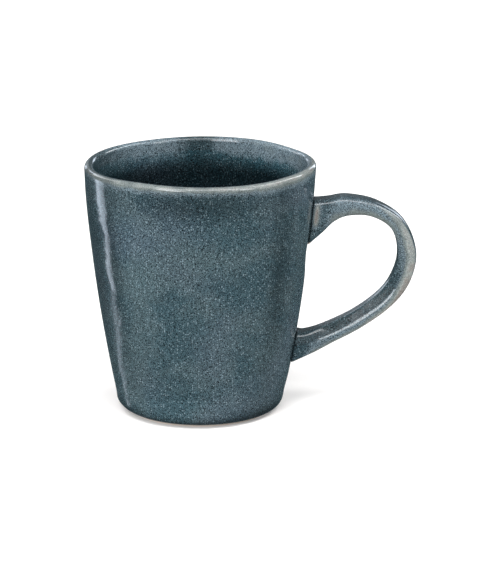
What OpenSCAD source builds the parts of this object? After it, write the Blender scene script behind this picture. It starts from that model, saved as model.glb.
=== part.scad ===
// Stoneware mug with a strap handle, as its pieces of clay, slip and glaze.
//
// Frame: millimetres, +Z up. The origin is on the cup's axis, in the plane that the
// foot ring stands on, and the handle points to +X. Radii and heights are those of
// the glazed surface unless the name says clay.

/* [Cup] */
// Height of the rim above the surface that the mug stands on
cup_h = 94; // [84:1:106]
// Outside radius at the rim
rim_r = 43; // [40:0.5:46]
// Radius that the wall's line reaches at the standing plane
base_r = 30.4; // [28:0.2:33]
// How far the wall bulges past a straight taper at half height
belly = 1.85; // [0:0.05:3]
// Radius of the round corner between wall and underside
corner_r = 4.5; // [3.5:0.1:6]
// Wall thickness at the rim, glaze included
rim_wall = 3.4; // [2.8:0.1:4.4]
// Wall thickness at the bottom, glaze included
base_wall = 5; // [4:0.1:7]
// Height of the floor inside the cup
floor_top = 7.4; // [6.5:0.1:9]
// Radius of the corner between floor and wall inside the cup
inner_corner_r = 9; // [6:0.5:14]

/* [Foot] */
// Width of the bare ring that the mug stands on
foot_w = 3.6; // [3:0.1:5]
// Height of the glaze line above the standing plane
glaze_line = 0.8; // [0.5:0.1:1.5]
// Depth of the hollow inside the foot ring, before glazing
recess_h = 3; // [2.2:0.1:3.5]
// Chamfer on the foot ring's two edges
foot_chamfer = 0.35; // [0.2:0.05:0.5]

/* [Handle] */
// Thickness of the strap at its outermost point
strap_t = 7; // [5.5:0.1:8]
// Width of the strap across its back
strap_w = 10.4; // [9:0.1:13]
// Further reach of the handle beyond the standard one
extra_reach = 0; // [-4:0.5:6]
// Flatness of the strap's inner and outer faces: 2 is round, more is flatter
face_flatness = 4.2; // [2:0.1:6]
// Flatness of the strap's two sides: 2 is round, more is flatter
side_flatness = 2.4; // [2:0.1:4]
// Share of its width that the lower arm loses in a bevel towards its inner face
lower_bevel = 0.55; // [0:0.05:0.65]

/* [Coats] */
// Thickness of every glaze coat
glaze_t = 0.45; // [0.3:0.05:0.6]
// Thickness of the slip that joins a handle root to the wall
slip_t = 0.8; // [0.7:0.05:1.2]

/* [Hidden] */

// Steps along each curve, and the facets of the round sections
wall_steps = 10;
corner_steps = 6;
// Steps of the corner that belong to the foot ring
foot_steps = 4;
lip_steps = 5;
strap_sides = 16;
strap_steps = 3;
$fn = 96;

bare_clay = [0.80, 0.72, 0.62];
foot_clay = [0.84, 0.77, 0.70];
slip_clay = [0.70, 0.62, 0.53];
blue_glaze = [0.33, 0.40, 0.46];
dark_glaze = [0.20, 0.25, 0.30];

lip_r = rim_wall / 2;
lip_z = cup_h - lip_r;
corner_z = glaze_line + corner_r;
foot_h = glaze_line + glaze_t;
foot_r = wall_r(corner_z) - corner_r;
foot_inner_r = foot_r - foot_w;
recess_r = foot_inner_r - 1;
recess_slope = 0.4;

// The strap from its upper root round to its lower one. Each station gives the
// distance from the cup's axis, the height, the thickness and the width as shares
// of strap_t and strap_w, the angle above +X in which the strap runs on, and the
// share of the lower arm's bevel.
root_x = 41;
far_x = 76.6;
stations = [
    [root_x, 71.1, 2.58, 1.25,    0, 0.0],
    [44.4,   73.7, 1.81, 1.16,    8, 0.0],
    [48.6,   76.0, 1.29, 1.10,   14, 0.0],
    [54.6,   77.5, 1.06, 1.06,    4, 0.0],
    [64.2,   76.2, 0.81, 1.02,  -21, 0.0],
    [72.9,   70.4, 0.79, 1.00,  -53, 0.0],
    [far_x,  60.0, 1.01, 1.00,  -86, 0.2],
    [74.6,   49.9, 1.06, 1.00, -113, 0.6],
    [68.7,   41.6, 1.00, 1.02, -135, 1.0],
    [58.4,   33.8, 0.99, 1.04, -148, 1.0],
    [47.2,   28.0, 1.06, 1.08, -152, 1.0],
    [40.6,   25.1, 1.24, 1.12, -155, 0.6],
    [35.5,   23.1, 1.79, 1.22, -180, 0.1]
];
last_station = len(stations) - 1;

// ---- The cup's turned profile ----
// d is the depth below the glazed surface.

function wall_r(z) =
    let (h = z / cup_h)
    base_r + (rim_r - base_r) * h + belly * 4 * h * (1 - h);

function wall_t(z) = rim_wall + (base_wall - rim_wall) * (1 - z / lip_z);

function arc(x, z, r, from, to, steps) =
    [for (i = [0:steps])
        let (a = from + (to - from) * i / steps)
        [x + r * cos(a), z + r * sin(a)]];

function lip_x() = wall_r(lip_z) - lip_r;

// From the foot ring's edge, round the corner, to the start of the wall
function corner(d) = arc(foot_r, corner_z, corner_r - d, -90, 0, corner_steps);

// From the foot ring's edge, up the outside, to the crest of the rim
function outside(d) = concat(
    corner(d),
    [for (i = [1:wall_steps - 1])
        let (z = corner_z + (lip_z - corner_z) * i / wall_steps)
        [wall_r(z) - d, z]],
    arc(lip_x(), lip_z, lip_r - d, 0, 90, lip_steps));

// From the crest of the rim, down the inside, to the middle of the floor
function inside(d) =
    let (low_z = floor_top + inner_corner_r,
         low_r = wall_r(low_z) - wall_t(low_z))
    concat(
        arc(lip_x(), lip_z, lip_r - d, 90, 180, lip_steps),
        [for (i = [1:wall_steps - 1])
            let (z = lip_z + (low_z - lip_z) * i / wall_steps)
            [wall_r(z) - wall_t(z) + d, z]],
        arc(low_r - inner_corner_r, low_z, inner_corner_r + d, 0, -90, corner_steps),
        [[0, floor_top - d]]);

// The entries of a list from number first to number last
function part_of(list, first, last) = [for (i = [first:last]) list[i]];

function reversed(list) = [for (i = [len(list) - 1:-1:0]) list[i]];

// ---- The strap ----
// grow is added to the section on every side.

// Share of the half-thickness from which the bevel leans in, below zero on the outer half
bevel_from = -0.1;

function rounded(s, flatness) = sign(s) * pow(abs(s), 2 / flatness);

// The share of the half-width at one point of the section, cut off by the bevel
function bevelled(side, back, bevel) =
    let (limit = 1 - bevel * max(0, -back - bevel_from) / (1 - bevel_from))
    sign(side) * min(abs(side), limit);

function station_ring(station, grow) =
    let (x = station[0] + extra_reach * (station[0] - root_x) / (far_x - root_x),
         half_t = station[2] * strap_t / 2 + grow,
         half_w = station[3] * strap_w / 2 + grow)
    [for (i = [0:strap_sides - 1])
        let (a = 360 * i / strap_sides,
             back = rounded(sin(a), side_flatness),
             side = bevelled(rounded(cos(a), face_flatness), back,
                             station[5] * lower_bevel),
             up = half_t * back)
        [x - up * sin(station[4]), half_w * side, station[1] + up * cos(station[4])]];

// A point moved level along X onto the wall, at depth d
function onto_wall(p, d) = [sqrt(pow(wall_r(p.z) - d, 2) - pow(p.y, 2)), p.y, p.z];

function key_ring(i, grow, d) =
    let (ring = station_ring(stations[i], grow))
    i > 0 && i < last_station ? ring : [for (p = ring) onto_wall(p, d)];

function blend(a, b, c, d, t) =
    (2 * b + (c - a) * t + (2 * a - 5 * b + 4 * c - d) * t * t
     + (3 * b - a - 3 * c + d) * t * t * t) / 2;

// Smooth rings through the key rings, with both end rings lying on the wall
function strap_rings(grow, d) =
    let (keys = [for (i = [0:last_station]) key_ring(i, grow, d)],
         before = 2 * keys[0] - keys[1],
         after = 2 * keys[last_station] - keys[last_station - 1])
    concat(
        [for (i = [0:last_station - 1], k = [0:strap_steps - 1])
            blend(i == 0 ? before : keys[i - 1], keys[i], keys[i + 1],
                  i == last_station - 1 ? after : keys[i + 2], k / strap_steps)],
        [keys[last_station]]);

function joined(lists) = [for (list = lists) each list];

// Triangles of the skin through the rings, whose first point is number start
function skin(rings, start, flip) =
    [for (i = [0:rings - 2], j = [0:strap_sides - 1])
        let (a = start + i * strap_sides + j,
             b = start + i * strap_sides + (j + 1) % strap_sides)
        each flip
            ? [[a, b, a + strap_sides], [b, b + strap_sides, a + strap_sides]]
            : [[a, a + strap_sides, b], [b, a + strap_sides, b + strap_sides]]];

// Triangles between two rings of the same number of points
function band(first, second, flip) =
    [for (j = [0:strap_sides - 1])
        let (k = (j + 1) % strap_sides)
        each flip
            ? [[first + j, first + k, second + j], [first + k, second + k, second + j]]
            : [[first + j, second + j, first + k], [first + k, second + j, second + k]]];

function fan(ring, middle, flip) =
    [for (j = [0:strap_sides - 1])
        let (k = (j + 1) % strap_sides)
        flip ? [middle, ring + j, ring + k] : [middle, ring + k, ring + j]];

module strap_solid(grow, d) {
    rings = strap_rings(grow, d);
    count = len(rings) * strap_sides;
    ends = [for (i = [0, last_station])
        onto_wall([stations[i][0], 0, stations[i][1]], d)];
    polyhedron(
        concat(joined(rings), ends),
        concat(
            skin(len(rings), 0, false),
            fan(0, count, true),
            fan(count - strap_sides, count + 1, false)));
}

module strap_shell(grow_in, grow_out, d) {
    outer = strap_rings(grow_out, d);
    inner = strap_rings(grow_in, d);
    count = len(outer) * strap_sides;
    polyhedron(
        concat(joined(outer), joined(inner)),
        concat(
            skin(len(outer), 0, false),
            skin(len(inner), count, true),
            band(0, count, true),
            band(count - strap_sides, 2 * count - strap_sides, false)));
}

// A bar along X with the outline of one clay root, right through the wall
module root_bar(station) {
    bar_from = station[0] - 10;
    translate([bar_from, 0, 0])
        rotate([90, 0, 90])
            linear_extrude(20)
                polygon([for (p = station_ring(station, -glaze_t)) [p.y, p.z]]);
}

// The layer of slip between the wall's clay and one root of the strap
module slip_joint(station) {
    low = station[1] - station[2] * strap_t;
    high = station[1] + station[2] * strap_t;
    steps = [for (i = [0:4]) low + (high - low) * i / 4];
    intersection() {
        root_bar(station);
        rotate_extrude()
            polygon(concat(
                [for (z = steps) [wall_r(z) - glaze_t, z]],
                [for (z = reversed(steps)) [wall_r(z) - glaze_t + slip_t, z]]));
    }
}

// ---- The pieces ----

module cup_body() {
    outer = outside(glaze_t);
    color(bare_clay)
        rotate_extrude()
            polygon(concat(
                [[0, recess_h], [recess_r, recess_h]],
                part_of(outer, foot_steps, len(outer) - 1),
                inside(glaze_t)));
}

// The bare ring, and the clay above it that the corner's glaze covers
module foot_ring() {
    color(foot_clay)
        rotate_extrude()
            polygon(concat(
                [[recess_r, recess_h],
                 [foot_inner_r, foot_h],
                 [foot_inner_r, foot_chamfer],
                 [foot_inner_r + foot_chamfer, 0],
                 [foot_r - foot_chamfer, 0],
                 [foot_r, foot_chamfer]],
                part_of(corner(glaze_t), 0, foot_steps)));
}

module handle() {
    color(bare_clay)
        strap_solid(-glaze_t, glaze_t - slip_t);
}

module upper_slip_joint() {
    color(slip_clay)
        slip_joint(stations[0]);
}

module lower_slip_joint() {
    color(slip_clay)
        slip_joint(stations[last_station]);
}

module outer_glaze() {
    color(blue_glaze)
        difference() {
            rotate_extrude()
                polygon(concat(outside(0), reversed(outside(glaze_t))));
            root_bar(stations[0]);
            root_bar(stations[last_station]);
        }
}

module liner_glaze() {
    color(dark_glaze)
        rotate_extrude()
            polygon(concat(inside(glaze_t), reversed(inside(0))));
}

module handle_glaze() {
    color(blue_glaze)
        strap_shell(-glaze_t, 0, 0);
}

module base_glaze() {
    color(dark_glaze)
        translate([0, 0, recess_h - glaze_t])
            cylinder(h = glaze_t, r1 = recess_r - recess_slope, r2 = recess_r);
}

cup_body();
foot_ring();
handle();
upper_slip_joint();
lower_slip_joint();
outer_glaze();
liner_glaze();
handle_glaze();
base_glaze();
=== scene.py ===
"""A stoneware mug with a strap handle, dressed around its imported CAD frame.

Lengths in the making of the shapes are millimetres, as in the part's own source, and
grid() turns them into metres. Lengths in the studio are metres, and the scale of a noise
or of the flecks is a count per metre. Angles are in degrees, counted from +X towards +Y.
+Z is up, +X points to the handle, and the origin is the centre of the foot ring.
"""
import math

import bpy
import numpy as np
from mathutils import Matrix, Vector


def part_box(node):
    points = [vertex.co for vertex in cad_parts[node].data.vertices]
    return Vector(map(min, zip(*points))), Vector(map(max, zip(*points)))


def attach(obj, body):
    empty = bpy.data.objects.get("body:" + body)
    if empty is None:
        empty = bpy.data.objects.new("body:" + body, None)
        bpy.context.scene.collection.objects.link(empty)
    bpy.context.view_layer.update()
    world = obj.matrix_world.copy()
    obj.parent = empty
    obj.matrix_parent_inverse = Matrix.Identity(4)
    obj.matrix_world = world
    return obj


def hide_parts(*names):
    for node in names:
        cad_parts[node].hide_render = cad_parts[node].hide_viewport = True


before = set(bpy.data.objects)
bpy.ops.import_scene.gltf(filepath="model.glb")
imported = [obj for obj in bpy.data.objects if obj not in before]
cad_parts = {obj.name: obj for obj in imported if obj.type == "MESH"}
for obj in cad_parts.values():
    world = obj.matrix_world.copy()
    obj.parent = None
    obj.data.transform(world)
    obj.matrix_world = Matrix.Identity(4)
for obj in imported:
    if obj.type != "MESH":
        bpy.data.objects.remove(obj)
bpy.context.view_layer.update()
MM = 0.001


# ---- Sizes ----

# The cup's height comes from the frame. The other sizes are those of the part's source.
CUP_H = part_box("outer_glaze")[1].z / MM
RIM_R = 43.0
BASE_R = 30.4
BELLY = 1.85
CORNER_R = 4.5
RIM_WALL = 3.4
BASE_WALL = 5.0
FLOOR_TOP = 7.4
INNER_CORNER_R = 9.0
GLAZE_LINE = 0.8
GLAZE_T = 0.45
SLIP_T = 0.8
FOOT_W = 3.6
RECESS_H = 3.0

CORNER_Z = GLAZE_LINE + CORNER_R
# Height of the foot ring's upright inner side, above which it slopes in to the hollow
FOOT_H = GLAZE_LINE + GLAZE_T
LIP_R = RIM_WALL / 2
LIP_Z = CUP_H - LIP_R
# Angle up the corner to which the foot ring's clay reaches
FOOT_TO = -30
# Angle at which the corner runs on into the leaning wall
CORNER_TO = -11
# Height at which the outer coat, tucked over the rim, gives way to the liner coat
SEAM_Z = CUP_H - 5.0
# Radius to which the foot ring's lower edges are rounded
FOOT_ROUND = 0.4

# Points round a ring, and round a ring of the pieces that hardly show
AROUND = 360
FEW_AROUND = 180
# Steps round the rim's arcs and round the lower corner
ARC_STEPS = 12
# Share of a floor's radius at which its innermost ring of points lies
INNERMOST = 0.08
# Edges that turn by more than this many degrees stay sharp
SHARP_ANGLE = 50


# ---- The hand-made unevenness of the cup, the breaking of its glaze, and painted shade and light ----

# How far the rim rises above its even height, every 30 degrees, and the height from
# which it takes the wall with it
RIM_LIFTS = [-0.1, -0.6, -0.3, -0.35, -0.6, -0.5, -0.4, -0.1, 0.6, 0.3, 0.15, 0.45]
LIFT_FROM = 12

# Heights between which the wall's unevenness comes in, above the even foot, and the
# radius inside which it fades out towards the axis
UNEVEN_FROM, UNEVEN_FULL = 0.9, 3.9
CALM_R = 20

# Presses of the maker's hand, and swells where the depth is negative: angle, height,
# depth, half-angle and half-height of each
PRESSES = [
    (178, 96, 0.45, 26, 10),
    (-163, 60, 0.50, 9, 13),
    (-150, 36, 0.30, 9, 12),
    (-140, 22, 0.30, 12, 12),
    (-120, 62, 0.30, 16, 22),
    (180, 2, -0.35, 24, 2.5),
    (-25, 5, 0.45, 60, 6),
    (-142, 74, -0.16, 8, 6.5),
    (-142, 63, 0.16, 8, 6.5),
    (-142, 52, -0.08, 8, 6),
    (-62, 66, 0.35, 10, 22),
    (-52, 34, 0.35, 10, 18),
    (-42, 60, 0.40, 6, 30),
    (-31, 58, -0.25, 4, 34),
    (-90, 30, 0.20, 20, 16),
    (0, 60, 0.75, 16, 7),
    (38, 94, 0.40, 13, 12),
    (40, 40, 0.35, 16, 22),
    (75, 68, 0.40, 18, 18),
    (110, 36, 0.35, 16, 20),
    (150, 60, 0.35, 14, 22),
]

# Spots of painted shade on the outer wall: under the rim, down a band on the right, round the
# streak of light on the left and all round the foot. Where the strength is negative they are
# painted light instead. Angle, height, strength, half-angle and half-height of each
SHADE_SPOTS = [
    (-90, 87, 0.44, 34, 5.5),
    (-42, 58, 0.36, 8, 34),
    (-163, 60, 0.55, 12, 42),
    (-141, 64, 0.40, 6, 32),
    (-118, 6, -0.30, 50, 6),
    (-124, 62, -0.20, 12, 34),
    (-90, 1.5, 0.60, 400, 2.5),
    (-165, 2, 0.45, 30, 5),
    (-25, 2, 0.45, 40, 5),
]

# Depths below the rim's crest outside, and how thin the glaze ran at each
LIP_THIN = [0.0, 0.5, 1.0, 1.8, 2.8, 3.8, 5.0], [0.76, 0.83, 0.76, 0.44, 0.20, 0.05, 0.0]
# Stretches of the rim: the angle at the middle, and the half-angle
LEFT_OF_RIM = 180, 40
RIGHT_OF_RIM = -40, 30
FRONT_LEFT_OF_RIM = -125, 25
# Stretches of the wall inside, just under the rim: a patch of painted shade with a patch of painted
# light on each side
SHADED_PATCH = 92, 9
LIT_PATCH_LEFT = 130, 22
LIT_PATCH_RIGHT = 40, 26
# Depths below the rim's crest between which the painted light inside, just under the rim, fades
# out, and between which the painted shade deep in the cup comes to its full darkness
INSIDE_LIT = 3, 11
INSIDE_SHADE = 4, 15


def turn(angle, centre):
    """The difference of two angles, from -180 to 180."""
    return (angle - centre + 180) % 360 - 180


def bell(angle, centre, half_angle):
    """1 at an angle, falling softly to 0 on both sides of it."""
    return np.exp(-(turn(angle, centre) / half_angle) ** 2)


def blobs(rows, angle, z):
    """The sum of soft round spots on the cup, listed as angle, height, strength,
    half-angle and half-height."""
    total = 0.0 * (angle + z)
    for centre, height, strength, wide, tall in rows:
        total = total + (strength * bell(angle, centre, wide)
                         * np.exp(-((z - height) / tall) ** 2))
    return total


def uneven(angle, z):
    """How far the wall stands proud of the turned profile."""
    return -blobs(PRESSES, angle, z)


def smooth_step(value, low, high):
    t = np.clip((value - low) / (high - low), 0, 1)
    return t * t * (3 - 2 * t)


def through(a, b, c, d, t):
    """The point at share t between b and c on a smooth curve through a, b, c and d."""
    return (2 * b + (c - a) * t + (2 * a - 5 * b + 4 * c - d) * t * t
            + (3 * b - a - 3 * c + d) * t ** 3) / 2


def rim_lift(angle):
    lifts = np.array(RIM_LIFTS)
    place = np.asarray(angle) % 360 / 360 * len(lifts)
    i = place.astype(int)
    a, b, c, d = (lifts[(i + k) % len(lifts)] for k in (-1, 0, 1, 2))
    return through(a, b, c, d, place - i)


# ---- The cup's turned profile; d is the depth below the glazed surface ----

def wall_r(z):
    h = z / CUP_H
    return BASE_R + (RIM_R - BASE_R) * h + BELLY * 4 * h * (1 - h)


def wall_t(z):
    return RIM_WALL + (BASE_WALL - RIM_WALL) * (1 - z / LIP_Z)


FOOT_R = wall_r(CORNER_Z) - CORNER_R
FOOT_INNER_R = FOOT_R - FOOT_W
RECESS_R = FOOT_INNER_R - 1


def arc(x, z, r, start, end, steps):
    angles = np.radians(np.linspace(start, end, steps + 1))
    return [(x + r * math.cos(a), z + r * math.sin(a)) for a in angles]


def outside(d, steps=70, start=-90):
    """Round the corner from the given angle, up the wall, to the crest of the rim."""
    zs = np.linspace(CORNER_Z, LIP_Z, steps + 1)[1:-1]
    return (arc(FOOT_R, CORNER_Z, CORNER_R - d, start, CORNER_TO, ARC_STEPS)
            + [(wall_r(z) - d, z) for z in zs]
            + arc(wall_r(LIP_Z) - LIP_R, LIP_Z, LIP_R - d, 0, 90, ARC_STEPS))


def lip_inside(d, steps=8):
    """From the crest of the rim, over its inner side, to the seam of the two coats."""
    zs = np.linspace(LIP_Z, SEAM_Z, steps + 1)[1:]
    return (arc(wall_r(LIP_Z) - LIP_R, LIP_Z, LIP_R - d, 90, 180, ARC_STEPS)[1:]
            + [(wall_r(z) - wall_t(z) + d, z) for z in zs])


def inside(d, steps=56):
    """From the seam of the two coats, down the inside, to near the middle of the floor."""
    low_z = FLOOR_TOP + INNER_CORNER_R
    low_r = wall_r(low_z) - wall_t(low_z)
    floor_r = low_r - INNER_CORNER_R
    return ([(wall_r(z) - wall_t(z) + d, z) for z in np.linspace(SEAM_Z, low_z, steps + 1)[:-1]]
            + arc(floor_r, low_z, INNER_CORNER_R + d, 0, -90, 14)
            + [(floor_r * share, FLOOR_TOP - d) for share in (0.8, 0.6, 0.4, 0.2, INNERMOST)])


def ring_angles(around):
    return -np.arange(around) * 360 / around


def turned_rings(profile, around=AROUND):
    """Rings of points round the axis through a profile's points, with the unevenness,
    which fades out towards the foot and towards the axis."""
    angle = ring_angles(around)
    cos, sin = np.cos(np.radians(angle)), np.sin(np.radians(angle))
    rings = []
    for r, z in profile:
        share = min(1, r / CALM_R) * np.clip((z - UNEVEN_FROM) / (UNEVEN_FULL - UNEVEN_FROM), 0, 1)
        grown = r + uneven(angle, z) * share
        raised = z + rim_lift(angle) * np.clip((z - LIFT_FROM) / (CUP_H - LIFT_FROM), 0, 1) ** 2
        rings.append(np.stack([grown * cos, grown * sin, raised], 1))
    return np.array(rings)


# ---- The strap ----

# From the upper root round to the lower one: distance from the cup's axis, height,
# thickness, width, and the angle above +X in which the strap runs on
STATIONS = [
    (41.0, 71.1, 18.1, 13.0, 0),
    (44.4, 73.7, 12.7, 12.1, 8),
    (48.6, 76.0, 9.0, 11.4, 14),
    (54.6, 77.5, 7.4, 11.0, 4),
    (64.2, 76.2, 5.7, 10.6, -21),
    (72.9, 70.4, 5.5, 10.4, -53),
    (76.6, 60.0, 7.1, 10.4, -86),
    (74.6, 49.9, 7.4, 10.4, -113),
    (68.7, 41.6, 7.0, 10.6, -135),
    (58.4, 33.8, 6.9, 10.8, -148),
    (47.2, 28.0, 7.4, 11.2, -152),
    (40.6, 25.1, 8.7, 11.6, -155),
    (35.5, 23.1, 12.5, 12.7, -180),
]
# How buff the glaze broke at each, on the strap's inner side and on its outer side. Along the
# lower arm's outer side, which faces the floor, the high values are partly buff glaze and partly
# painted bounce light
INNER_BUFF = [0.1, 0.3, 0.5, 0.6, 0.7, 0.6, 0.1, 0.0, 0.0, 0.0, 0.0, 0.0, 0.0]
OUTER_BUFF_AND_LIGHT = [0.0, 0.0, 0.0, 0.1, 0.3, 0.8, 0.95, 1.0, 1.2, 1.2, 1.15, 0.9, 0.0]
# Where the buff begins to show on the outer side, as a share of the half-thickness
OUTER_FROM = [0.0, 0.0, 0.0, 0.0, 0.0, -0.6, -0.65, -0.5, -0.1, 0.1, 0.2, 0.2, 0.2]
# Shares of the half-thickness between which the outer face and the inner face begin
FACE_EDGE = 0.78, 0.96
# How much painted shade darkens each station, on the outer face and on the inner face
OUTER_FACE_SHADE = [0.15, 0.15, 0.15, 0.15, 0.25, 0.4, 0.2, 0.0, 0.0, 0.0, 0.0, 0.0, 0.0]
INNER_FACE_SHADE = [0.0, 0.0, 0.0, 0.0, 0.0, 0.0, 0.4, 0.2, 0.1, 0.1, 0.1, 0.1, 0.3]
# Share at each of the bevel that narrows the lower arm towards its inner face
BEVELS = [0.0, 0.0, 0.0, 0.0, 0.0, 0.0, 0.2, 0.6, 1.0, 1.0, 1.0, 0.6, 0.1]
LOWER_BEVEL = 0.55
# Share of the half-thickness at which the bevel begins, below zero on the outer half
BEVEL_FROM = -0.1
# How sharply the bevel meets the inner face and the side
BEVEL_EDGES = 6, 20
FACE_FLATNESS = 4.2
SIDE_FLATNESS = 2.4
STRAP_SIDES = 96
STRAP_STEPS = 12
# Radius to which each root's edge is rounded where it meets the wall
ROOT_ROUND = 0.8
# Clearances from the wall over which the glaze grows thin, and over which painted shade darkens the
# crease at the root
ROOT_THIN = 0.5, 9
ROOT_SHADE = 0.0, 0.9
# Clearance at which the upper root's two edges break pale, how far that reaches, and the
# heights between which it comes in
EDGE_CLEAR, EDGE_REACH = 1.8, 1.2
EDGE_Z = 68, 73
# How deep the ends of the strap's coat lie in the cup's coat
COAT_IN = 0.35
# Rings of each pad of slip: share of the root's size, and share of the slip's thickness
PAD_RINGS = [(0.90, 0.0), (0.97, 0.25), (0.97, 0.75), (0.90, 1.0)]


def powered(values, flatness):
    return np.sign(values) * np.abs(values) ** (2 / flatness)


def strap_section():
    """Shares of the half-width and of the half-thickness round the strap's section."""
    q = -np.arange(STRAP_SIDES) * 2 * math.pi / STRAP_SIDES
    return powered(np.cos(q), FACE_FLATNESS), powered(np.sin(q), SIDE_FLATNESS)


def bevelled(side, back, bevel):
    """The shares of the half-width, with a share of the bevel towards the inner face."""
    limit = 1 + bevel * LOWER_BEVEL * (back + BEVEL_FROM) / (1 - BEVEL_FROM)
    edge = np.interp(back, (-0.95, -0.5), BEVEL_EDGES)
    size = np.maximum(np.abs(side), 1e-6)
    cut = (size ** -edge + limit ** -edge) ** (-1 / edge)
    return np.sign(side) * (size + bevel * (cut - size))


def glazed_wall(x, y, z):
    """Radius of the cup's glazed surface towards a point."""
    return wall_r(z) + uneven(np.degrees(np.arctan2(y, x)), z)


def onto_wall(ring, d):
    """A ring moved level along X onto the wall, at depth d."""
    x, y, z = ring.T
    return np.stack([np.sqrt((glazed_wall(x, y, z) - d) ** 2 - y ** 2), y, z], 1)


def smooth_through(rows, steps):
    """Rows on a smooth curve through the given ones."""
    rows = np.asarray(rows, float)
    ends = np.concatenate([[2 * rows[0] - rows[1]], rows, [2 * rows[-1] - rows[-2]]])
    out = []
    for i in range(len(rows) - 1):
        for t in np.arange(steps) / steps:
            out.append(through(*ends[i:i + 4], t))
    return np.array(out + [rows[-1]])


def strap_rings(grow, d):
    """Rings along the strap, grown by grow all round, with both ends at depth d in the
    wall and both roots rounded over where they meet it."""
    side, back = strap_section()
    keys = []
    for (x, z, thick, wide, lean), bevel in zip(STATIONS, BEVELS):
        up = back * (thick / 2 + grow)
        across = bevelled(side, back, bevel) * (wide / 2 + grow)
        a = math.radians(lean)
        keys.append(np.stack([x - up * math.sin(a), across, z + up * math.cos(a)], 1))
    keys[0] = onto_wall(keys[0], d)
    keys[-1] = onto_wall(keys[-1], d)
    rings = smooth_through(keys, STRAP_STEPS)
    x, y, z = np.moveaxis(rings, 2, 0)
    clear = np.clip(np.hypot(x, y) - glazed_wall(x, y, z), 0, ROOT_ROUND)
    inset = ROOT_ROUND - np.sqrt(ROOT_ROUND ** 2 - (ROOT_ROUND - clear) ** 2)
    away = rings - rings.mean(1, keepdims=True)
    away[:, :, 0] = 0
    away /= np.linalg.norm(away, axis=2, keepdims=True)
    return rings - away * inset[:, :, None]


# ---- Meshes ----

def new_object(name, data):
    made = bpy.data.objects.new(name, data)
    bpy.context.scene.collection.objects.link(made)
    return made


def grid(name, rings, loop=False, caps=False, marks=None):
    """A mesh through rings of points. loop joins the last ring to the first, and caps
    closes both ends with a point. marks is a dict of numbers, one for each ring or for
    each point, kept as attributes of the points."""
    rings = np.asarray(rings, float)
    count, around = rings.shape[:2]
    verts = rings.reshape(-1, 3)
    faces = []
    for i in range(count if loop else count - 1):
        low, high = i * around, (i + 1) % count * around
        for j in range(around):
            k = (j + 1) % around
            faces.append((low + j, low + k, high + k, high + j))
    if caps:
        verts = np.vstack([verts, rings[0].mean(0), rings[-1].mean(0)])
        first, last = count * around, count * around + 1
        end = (count - 1) * around
        for j in range(around):
            k = (j + 1) % around
            faces.append((first, k, j))
            faces.append((last, end + j, end + k))
    mesh = bpy.data.meshes.new(name)
    mesh.from_pydata((verts * MM).tolist(), [], faces)
    for mark, values in (marks or {}).items():
        values = np.asarray(values, float)
        if values.ndim == 1:
            values = np.repeat(values[:, None], around, 1)
        values = values.reshape(-1)
        if caps:
            values = np.append(values, [values[:around].mean(), values[-around:].mean()])
        layer = mesh.attributes.new(mark, "FLOAT", "POINT")
        layer.data.foreach_set("value", values.astype(np.float32))
    mesh.shade_smooth()
    mesh.set_sharp_from_angle(angle=math.radians(SHARP_ANGLE))
    mesh.validate()
    return new_object(name, mesh)


def stands_for(piece, node, material):
    """Gives a piece its material and its body, and hides the CAD node that it stands for."""
    piece.data.materials.append(material)
    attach(piece, "root")
    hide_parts(node)
    return piece


# ---- Node materials ----

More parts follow.
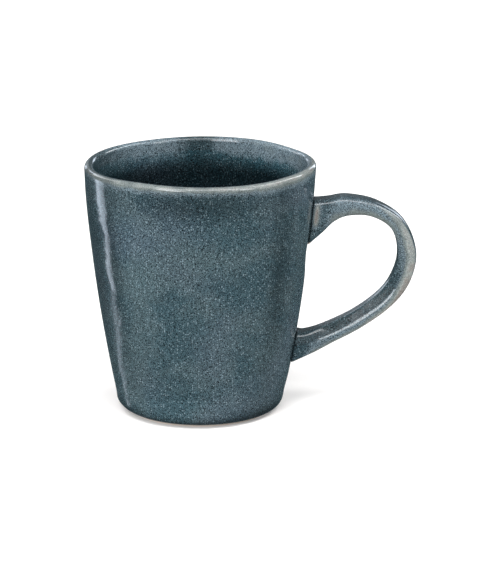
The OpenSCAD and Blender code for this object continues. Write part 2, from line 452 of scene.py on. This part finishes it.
class Nodes:
    """Short calls for making a node tree."""

    def __init__(self, tree, coordinates):
        self.tree = tree
        self.place = self.add("ShaderNodeTexCoord").outputs[coordinates]

    def add(self, kind, **values):
        node = self.tree.nodes.new(kind)
        for key, value in values.items():
            setattr(node, key, value)
        return node

    def put(self, value, socket):
        if hasattr(value, "links"):
            self.tree.links.new(value, socket)
        else:
            socket.default_value = value

    def math(self, operation, a, b=0.0):
        node = self.add("ShaderNodeMath", operation=operation)
        self.put(a, node.inputs[0])
        self.put(b, node.inputs[1])
        return node.outputs[0]

    def times(self, *factors):
        product = factors[0]
        for factor in factors[1:]:
            product = self.math("MULTIPLY", product, factor)
        return product

    def noise(self, scale, detail=2.0, roughness=0.5, distortion=0.0):
        node = self.add("ShaderNodeTexNoise")
        self.put(self.place, node.inputs["Vector"])
        node.inputs["Scale"].default_value = scale
        node.inputs["Detail"].default_value = detail
        node.inputs["Roughness"].default_value = roughness
        node.inputs["Distortion"].default_value = distortion
        return node.outputs["Fac"]

    def flecks(self, scale):
        """Distance to the nearest fleck's middle, in shares of their spacing, and a random
        number for each fleck."""
        node = self.add("ShaderNodeTexVoronoi")
        self.put(self.place, node.inputs["Vector"])
        node.inputs["Scale"].default_value = scale
        apart = self.add("ShaderNodeSeparateColor")
        self.put(node.outputs["Color"], apart.inputs[0])
        return node.outputs["Distance"], apart.outputs[0]

    def span(self, value, low, high, to_low=0.0, to_high=1.0):
        """A smooth step from to_low, where the value is low, to to_high, where it is high."""
        node = self.add("ShaderNodeMapRange", interpolation_type="SMOOTHSTEP")
        self.put(value, node.inputs["Value"])
        node.inputs["From Min"].default_value = low
        node.inputs["From Max"].default_value = high
        node.inputs["To Min"].default_value = to_low
        node.inputs["To Max"].default_value = to_high
        return node.outputs["Result"]

    def mix(self, share, a, b, blend="MIX"):
        node = self.add("ShaderNodeMix", data_type="RGBA", blend_type=blend)
        self.put(share, node.inputs[0])
        self.put(a if hasattr(a, "links") else (*a, 1.0), node.inputs[6])
        self.put(b if hasattr(b, "links") else (*b, 1.0), node.inputs[7])
        return node.outputs[2]

    def mark(self, name):
        """The numbers that grid() kept under a name."""
        return self.add("ShaderNodeAttribute", attribute_name=name).outputs["Fac"]

    def axes(self):
        apart = self.add("ShaderNodeSeparateXYZ")
        self.put(self.place, apart.inputs[0])
        return apart.outputs

    def bump(self, height, distance, strength=1.0, normal=None):
        node = self.add("ShaderNodeBump")
        self.put(height, node.inputs["Height"])
        node.inputs["Distance"].default_value = distance
        node.inputs["Strength"].default_value = strength
        if normal is not None:
            self.put(normal, node.inputs["Normal"])
        return node.outputs["Normal"]


def new_material(name):
    material = bpy.data.materials.new(name)
    material.use_nodes = True
    nodes = Nodes(material.node_tree, "Object")
    return material, nodes, material.node_tree.nodes["Principled BSDF"]


# Colours of the cup's glaze and of its lining, where they are deep and where they are
# light, and of the slate cast over both
BLUE = (0.0235, 0.0430, 0.0515), (0.0370, 0.0570, 0.0640)
LINING = (0.019, 0.0465, 0.058), (0.034, 0.0635, 0.075)
SLATE_CAST = (0.060, 0.072, 0.098)
FLECK = (0.21, 0.280, 0.310)
CLAY_FLECK = (0.22, 0.13, 0.08)
# How thin the glaze is where each colour of its breaking begins, and where it is full
BREAKS = [
    (0.10, 0.42, (0.078, 0.104, 0.119)),
    (0.38, 0.70, (0.114, 0.133, 0.130)),
    (0.70, 0.92, (0.215, 0.234, 0.224)),
    (0.82, 0.98, (0.168, 0.156, 0.143)),
]


def glaze(name, deep, light):
    """A reactive satin glaze, seeded all over with fine pale flecks. It is painted darker, as
    shade, where its mark of painted shade is high, and lighter, as painted light, where that mark
    is negative. It breaks through grey and olive to a pale buff where its mark of thin glaze and
    painted light is high."""
    material, n, shader = new_material(name)
    cloud = n.span(n.noise(62.0, 3.0, 0.55, 0.5), 0.34, 0.66)
    base = n.mix(cloud, deep, light)
    slate = n.span(n.noise(26.0, 2.0, 0.5, 0.3), 0.45, 0.75, 0.0, 0.30)
    base = n.mix(slate, base, SLATE_CAST)

    ragged = n.span(n.noise(260.0), 0.25, 0.75, -0.07, 0.07)
    thin_and_painted_light = n.math("ADD", n.mark("thin_and_painted_light"), ragged)
    for begins, full, colour in BREAKS:
        base = n.mix(n.span(thin_and_painted_light, begins, full), base, colour)

    # Painted shade: the colour is darkened where the mark is high, and lightened as painted light
    # where it is negative
    painted_shading = n.span(n.mark("painted_shade"), -1.0, 1.0, 1.65, 0.15)
    even = n.span(thin_and_painted_light, 0.25, 0.75, 1.0, 0.35)
    grain = n.span(n.noise(3400.0, 1.0, 0.6), 0.34, 0.66, -0.95, 1.34)
    grain = n.math("ADD", n.times(grain, even), 1.0)
    base = n.mix(1.0, base, n.times(painted_shading, grain), "MULTIPLY")
    spot, luck = n.flecks(1300.0)
    fleck = n.times(n.span(spot, 0.16, 0.40, 1.0, 0.0), n.span(luck, 0.3, 0.9), painted_shading, even, 0.8)
    base = n.mix(fleck, base, FLECK)
    n.put(base, shader.inputs["Base Color"])

    n.put(n.span(n.noise(300.0), 0.3, 0.7, 0.08, 0.13), shader.inputs["Roughness"])
    shader.inputs["IOR"].default_value = 1.5
    swell = n.bump(n.noise(95.0), 0.00030)
    n.put(n.bump(n.times(n.noise(1100.0), even), 0.00004, 0.6, swell), shader.inputs["Normal"])
    return material


def bare_clay(name, dark, light):
    """Unglazed clay, mottled and rough, with a few rust-brown flecks."""
    material, n, shader = new_material(name)
    base = n.mix(n.noise(160.0, 4.0, 0.6), dark, light)
    spot, luck = n.flecks(900.0)
    fleck = n.times(n.span(spot, 0.15, 0.35, 1.0, 0.0), n.span(luck, 0.8, 0.95), 0.6)
    base = n.mix(fleck, base, CLAY_FLECK)
    n.put(base, shader.inputs["Base Color"])
    n.put(n.span(n.noise(700.0, 3.0), 0.3, 0.7, 0.72, 0.92), shader.inputs["Roughness"])
    n.put(n.bump(n.noise(1300.0, 4.0, 0.65), 0.00012), shader.inputs["Normal"])
    return material


# ---- The pieces ----

def cup_marks(profile):
    """The marks of thin glaze and painted light, and of painted shade, at every point of a cup
    coat's rings.
    """
    angle = ring_angles(AROUND)
    shaded_patch = bell(angle, *SHADED_PATCH)
    pale = bell(angle, *LIT_PATCH_LEFT) + 1.7 * bell(angle, *LIT_PATCH_RIGHT)
    left = bell(angle, *LEFT_OF_RIM)
    right = bell(angle, *RIGHT_OF_RIM)
    # The pale band under the rim is deeper on the right and on the front left
    deeper = 1 + 0.5 * right + 0.3 * bell(angle, *FRONT_LEFT_OF_RIM)
    paler = 1 - 0.25 * left + 0.10 * right
    thin_and_painted_light, painted_shade = [], []
    for r, z in profile:
        below = CUP_H - z
        outer = r > wall_r(z) - LIP_R
        if outer:
            thin_and_painted_light.append(np.interp(below / deeper, *LIP_THIN) * paler)
            painted_shade.append(blobs(SHADE_SPOTS, angle, z))
        else:
            # Inside: painted light just under the rim. Painted shade deep down, on the patch at the
            # back and on the left. Painted light on either side of the patch
            near_rim = 1 - smooth_step(below, *INSIDE_LIT)
            shallow = 1 - smooth_step(below, *INSIDE_SHADE)
            thin_and_painted_light.append(0.42 * near_rim * (1 - shaded_patch) * (1 - 0.7 * left))
            painted_shade.append(1 - shallow + shallow * (0.3 * shaded_patch + 0.22 * left - 0.35 * pale))
    return {"thin_and_painted_light": np.array(thin_and_painted_light), "painted_shade": np.array(painted_shade)}


def outer_coat(material):
    profile = (outside(0) + lip_inside(0)
               + lip_inside(GLAZE_T)[::-1] + outside(GLAZE_T)[::-1])
    return stands_for(grid("outer_glaze_coat", turned_rings(profile), loop=True,
                           marks=cup_marks(profile)),
                      "outer_glaze", material)


def liner_coat(material):
    profile = inside(GLAZE_T)[::-1] + inside(0)
    return stands_for(grid("liner_glaze_coat", turned_rings(profile), caps=True,
                           marks=cup_marks(profile)),
                      "liner_glaze", material)


def clay_body(material):
    """The cup's clay, with fewer steps than its coats, which hide it."""
    under = [(RECESS_R * share, RECESS_H) for share in (INNERMOST, 0.4, 0.7, 1)]
    profile = (under + outside(GLAZE_T, 30, FOOT_TO)
               + lip_inside(GLAZE_T, 2) + inside(GLAZE_T, 30)[1:])
    return stands_for(grid("clay_body", turned_rings(profile, FEW_AROUND), caps=True),
                      "cup_body", material)


def ring_foot(material):
    """The ring's clay, and above it the clay of the corner, which the outer coat hides."""
    profile = ([(RECESS_R, RECESS_H), (FOOT_INNER_R, FOOT_H)]
               + arc(FOOT_INNER_R + FOOT_ROUND, FOOT_ROUND, FOOT_ROUND, 180, 270, 5)
               + arc(FOOT_R - FOOT_ROUND, FOOT_ROUND, FOOT_ROUND, 270, 360, 5)
               + arc(FOOT_R, CORNER_Z, CORNER_R - GLAZE_T, -90, FOOT_TO, 8))
    return stands_for(grid("foot_ring_clay", turned_rings(profile), loop=True),
                      "foot_ring", material)


def recess_coat(material):
    """The glaze in the hollow under the cup, with its edge turned up against the ring."""
    r = RECESS_R
    low = RECESS_H - GLAZE_T
    # A hair below the clay above it
    top = RECESS_H - 0.01
    turned_up = [(r - 0.35, low + 0.04), (r - 0.08, low + 0.2), (r, top)]
    profile = ([(r * share, low) for share in (INNERMOST, 0.4, 0.7, 0.92)]
               + turned_up + [(r * 0.5, top), (r * INNERMOST, top)])
    rings = turned_rings(profile, FEW_AROUND)
    even = [0.0] * len(rings)
    return stands_for(grid("recess_glaze", rings[::-1], caps=True,
                           marks={"thin_and_painted_light": even, "painted_shade": even}),
                      "base_glaze", material)


def strap_marks(rings):
    """The marks of thin glaze and painted light, and of painted shade, at every point of the
    strap's coat.
    """
    side, back = strap_section()
    x, y, z = np.moveaxis(rings, 2, 0)
    clear = np.hypot(x, y) - glazed_wall(x, y, z)
    inner, outer, start, outer_shade, inner_shade, bevel = (
        smooth_through(np.array(share)[:, None], STRAP_STEPS)
        for share in (INNER_BUFF, OUTER_BUFF_AND_LIGHT, OUTER_FROM, OUTER_FACE_SHADE, INNER_FACE_SHADE, BEVELS))
    broken_and_lit = np.maximum(inner * smooth_step(-back, -0.4, 0.8),
                        outer * smooth_step(back, start, start + 1.0))
    outer_face = smooth_step(back, *FACE_EDGE)
    inner_face = smooth_step(-back, *FACE_EDGE)
    on_bevel = bevel * smooth_step(-back, 0.0, 0.2) * (1 - smooth_step(-back, 0.80, 0.95))
    on_ridge = bevel * np.exp(-((back - 0.06) / 0.07) ** 2)
    root_edge = (np.exp(-((clear - EDGE_CLEAR) / EDGE_REACH) ** 2) * smooth_step(z, *EDGE_Z)
                 * smooth_step(np.abs(side), 0.6, 1.0))
    # Painted shade: the glaze breaks less pale on the outer face, where that face is shaded, and on
    # the inner face all along
    off_face = (1 - np.minimum(1, outer_shade * 3) * outer_face) * (1 - 0.5 * inner_face)
    # The bevel breaks less pale, as painted shade; the ridge along its lower edge breaks paler
    edges = (0.32 + 0.58 * broken_and_lit) * off_face - 0.20 * on_bevel + 0.12 * on_ridge
    thin_and_painted_light = smooth_step(clear, *ROOT_THIN) * edges + root_edge
    # Painted shade in the crease where each root meets the wall
    root_crease_shade = 0.9 * (1 - smooth_step(clear, *ROOT_SHADE))
    # All painted shade: the creases at the roots, the shaded faces and the bevel
    painted_shade = np.maximum.reduce([root_crease_shade, outer_shade * outer_face, inner_shade * inner_face,
                              0.35 * on_bevel])
    return {"thin_and_painted_light": thin_and_painted_light, "painted_shade": painted_shade}


def strap_pieces(coat_material, clay_material):
    coat = strap_rings(0, COAT_IN)
    stands_for(grid("strap_glaze", coat, caps=True, marks=strap_marks(coat)),
               "handle_glaze", coat_material)
    clay = strap_rings(-GLAZE_T, GLAZE_T - SLIP_T)
    stands_for(grid("strap_clay", clay, caps=True), "handle", clay_material)


def slip_pad(name, node, station, material):
    """The flattened pad of slip between the wall's clay and one root of the strap."""
    side, back = strap_section()
    x, z, thick, wide, _ = station
    rings = []
    for share, outward in PAD_RINGS:
        outline = np.stack([np.full(STRAP_SIDES, x), share * side * (wide / 2 - ROOT_ROUND),
                            z + share * back * (thick / 2 - ROOT_ROUND)], 1)
        rings.append(onto_wall(outline, GLAZE_T - SLIP_T * outward))
    return stands_for(grid(name, rings, caps=True), node, material)


# ---- The studio ----

FLOOR_HALF = 6.0
FLOOR_COLOURS = (0.93, 0.90, 0.87), (0.96, 0.93, 0.90)
# Distances from the mug between which the floor's own glow rises, and the glow at each
GLOW_FROM, GLOW_FULL = 0.6, 1.8
NEAR_GLOW, FAR_GLOW = 0.10, 0.8

# Where the softboxes are aimed
MIDDLE = (0, 0, 0.05)

BACKDROP_R = 5.0
BACKDROP_H = 6.0
BACKDROP_SIDES = 64
BACKDROP_COLOURS = (0.93, 0.93, 0.93), (0.97, 0.97, 0.97)

# Tall bright panels round the mug: angle, lean, half-width at the foot and at the head,
# low and high end, fade of the ends, softness of the sides, and radiance of each. The
# first two make the streak of light down the left of the cup, and its faint tail.
PANELS = [
    (156, -3.6, 4.5, 8.8, -0.418, -0.18, 0.03, 0.12, 3.2),
    (147, 0, 3.2, 3.2, -0.465, -0.42, 0.025, 0.5, 1.7),
    (20, 0, 2.5, 2.5, -0.5, 0.1, 0.1, 0.7, 0.3),
    (104, 0, 4.0, 4.0, -0.08, 0.25, 0.04, 0.5, 0.3),
    (111, 0, 3.5, 3.5, -0.06, 0.18, 0.04, 0.4, 1.9),
    (114, 0, 4.0, 4.0, 0.28, 0.48, 0.03, 0.4, 4.0),
    (70, 0, 4.0, 4.0, -0.06, 0.30, 0.04, 0.4, 3.4),
]
# Rise, as a share of the sky's radius, over which a panel turns and widens
PANEL_TURN = 0.12

# Red, green and blue of the light from the sky, from below the horizon and from the panels
SKY_TINT = 0.98, 1.0, 1.03
GROUND_TINT = 0.60, 0.94, 1.08
PANEL_TINT = 0.87, 0.98, 1.13
SOFTBOX_TINT = 0.98, 0.995, 1.015


def floor():
    """A wide pale floor, which the glaze doesn't reflect."""
    half = FLOOR_HALF
    mesh = bpy.data.meshes.new("studio_floor")
    corners = [(-half, -half, 0), (half, -half, 0), (half, half, 0), (-half, half, 0)]
    mesh.from_pydata(corners, [], [(0, 1, 2, 3)])
    material, n, shader = new_material("pale_floor")
    n.put(n.mix(n.noise(3.0), *FLOOR_COLOURS), shader.inputs["Base Color"])
    # The far floor, out of the softboxes' reach, glows as pale as the near one
    x, y, _ = n.axes()
    far = n.math("SQRT", n.math("ADD", n.times(x, x), n.times(y, y)))
    shader.inputs["Emission Color"].default_value = (1.0, 1.0, 1.0, 1.0)
    glow = n.span(far, GLOW_FROM, GLOW_FULL, NEAR_GLOW, FAR_GLOW)
    n.put(glow, shader.inputs["Emission Strength"])
    shader.inputs["Roughness"].default_value = 0.9
    shader.inputs["Specular IOR Level"].default_value = 0.0
    mesh.materials.append(material)
    made = new_object("studio_floor", mesh)
    made.visible_glossy = False


def backdrop():
    """A pale round wall behind and around the mug, which only the camera sees."""
    sides = BACKDROP_SIDES
    angles = np.arange(sides) * 2 * math.pi / sides
    verts = [(BACKDROP_R * math.cos(a), BACKDROP_R * math.sin(a), z)
             for z in (0, BACKDROP_H) for a in angles]
    faces = [((i + 1) % sides, i, sides + i, sides + (i + 1) % sides) for i in range(sides)]
    mesh = bpy.data.meshes.new("studio_backdrop")
    mesh.from_pydata(verts, [], faces)
    material, n, shader = new_material("pale_backdrop")
    shader.inputs["Specular IOR Level"].default_value = 0.0
    n.put(n.mix(n.noise(1.0), *BACKDROP_COLOURS), shader.inputs["Emission Color"])
    shader.inputs["Emission Strength"].default_value = 1.0
    mesh.materials.append(material)
    made = new_object("studio_backdrop", mesh)
    made.visible_diffuse = made.visible_glossy = made.visible_shadow = False
    made.visible_transmission = made.visible_volume_scatter = False


def aim(thing, place, target):
    thing.location = place
    direction = Vector(target) - Vector(place)
    thing.rotation_euler = direction.to_track_quat("-Z", "Y").to_euler()


def softbox(name, place, size, power, roll=0):
    """A rectangular lamp that faces the mug. Power is in watts, and roll turns it about the
    line on which it looks."""
    light = bpy.data.lights.new(name, "AREA")
    light.shape = "RECTANGLE"
    light.size, light.size_y = size
    light.energy = power
    light.color = SOFTBOX_TINT
    made = new_object(name, light)
    aim(made, place, MIDDLE)
    made.rotation_euler.rotate_axis("Z", math.radians(roll))
    made.visible_camera = False


def surroundings():
    """What the glaze reflects and what fills the shadows: pale in front and overhead,
    dim behind and below the horizon, with tall bright panels at the sides."""
    world = bpy.data.worlds.new("studio")
    bpy.context.scene.world = world
    world.use_nodes = True
    n = Nodes(world.node_tree, "Generated")
    x, y, z = n.axes()

    def tall_panel(angle, lean, foot, head, low, high, fade, soft, radiance):
        """A bright panel at an angle, between two heights on the sky's unit sphere. It turns
        by lean over the first stretch above its low end, where its half-width grows from
        foot to head. Its ends fade over twice fade, and its sides are soft. Its right-hand
        side, seen from the mug, is the brighter."""
        a, lean, foot, head = (math.radians(value) for value in (angle, lean, foot, head))
        toward = n.math("ADD", n.times(x, math.cos(a)), n.times(y, math.sin(a)))
        aside = n.math("SUBTRACT", n.times(y, math.cos(a)), n.times(x, math.sin(a)))
        turned = low + PANEL_TURN
        aside = n.math("SUBTRACT", aside, n.span(z, low, turned, 0.0, math.sin(lean)))
        edge = n.span(z, low + PANEL_TURN / 2, turned, math.sin(foot), math.sin(head))
        share = n.math("DIVIDE", aside, edge)
        return n.times(n.span(n.math("ABSOLUTE", share), 1 - soft, 1 + soft, 1.0, 0.0),
                       n.span(share, -1.0, 1.0, 1.2, 0.7),
                       n.span(toward, 0.0, 0.1),
                       n.span(z, low - fade, low + fade),
                       n.span(z, high - fade, high + fade, 1.0, 0.0), radiance)

    front = n.span(y, -0.3, 0.5, 0.62, 0.16)
    left = n.span(x, -0.6, 0.6, 1.08, 0.85)
    sky = n.math("ADD", n.times(front, left), n.span(z, 0.45, 0.9, 0.0, 0.15))
    sky = n.times(sky, n.span(z, -0.03, 0.10))
    ground = n.span(z, -0.03, 0.10, 0.10, 0.0)
    panels = 0.0
    for panel in PANELS:
        panels = n.math("ADD", panels, tall_panel(*panel))
    tint = n.add("ShaderNodeCombineColor")
    for socket, of_sky, of_ground, of_panels in zip(tint.inputs, SKY_TINT, GROUND_TINT, PANEL_TINT):
        light = n.math("ADD", n.times(sky, of_sky), n.times(ground, of_ground))
        n.put(n.math("ADD", light, n.times(panels, of_panels)), socket)
    n.put(tint.outputs[0], world.node_tree.nodes["Background"].inputs["Color"])


def camera():
    """From straight in front of the mug, with the handle to the right, 16 degrees above it."""
    distance = 1.1
    elevation = math.radians(16.02)
    target = Vector((18.5, 0, 47.83)) * MM
    data = bpy.data.cameras.new("camera")
    data.lens = 188.9
    data.clip_end = 50
    made = new_object("camera", data)
    aim(made, target + distance * Vector((0, -math.cos(elevation), math.sin(elevation))), target)
    bpy.context.scene.camera = made


def studio():
    floor()
    backdrop()
    surroundings()
    softbox("top_softbox", (0.0, -0.50, 1.10), (1.3, 0.35), 10)
    softbox("high_left_softbox", (-0.75, 0.70, 0.78), (0.3, 0.7), 2.5, -39)
    softbox("high_right_softbox", (0.81, 0.32, 0.83), (0.22, 1.1), 8, 39)
    softbox("key_softbox", (-0.60, -1.10, 0.62), (0.6, 0.8), 12.5)
    softbox("right_softbox", (0.95, -0.85, 0.75), (0.3, 0.6), 4)
    camera()
    bpy.context.scene.view_settings.view_transform = "Standard"


# ---- Putting it together ----

blue = glaze("blue_grey_glaze", *BLUE)
lining = glaze("liner_glaze", *LINING)
clay = bare_clay("stoneware_clay", (0.50, 0.42, 0.33), (0.62, 0.54, 0.45))
foot_clay = bare_clay("foot_clay", (0.58, 0.48, 0.41), (0.72, 0.64, 0.57))
slip = bare_clay("joining_slip", (0.40, 0.33, 0.26), (0.50, 0.43, 0.36))

outer_coat(blue)
liner_coat(lining)
clay_body(clay)
ring_foot(foot_clay)
recess_coat(blue)
strap_pieces(blue, clay)
slip_pad("upper_slip", "upper_slip_joint", STATIONS[0], slip)
slip_pad("lower_slip", "lower_slip_joint", STATIONS[-1], slip)
studio()
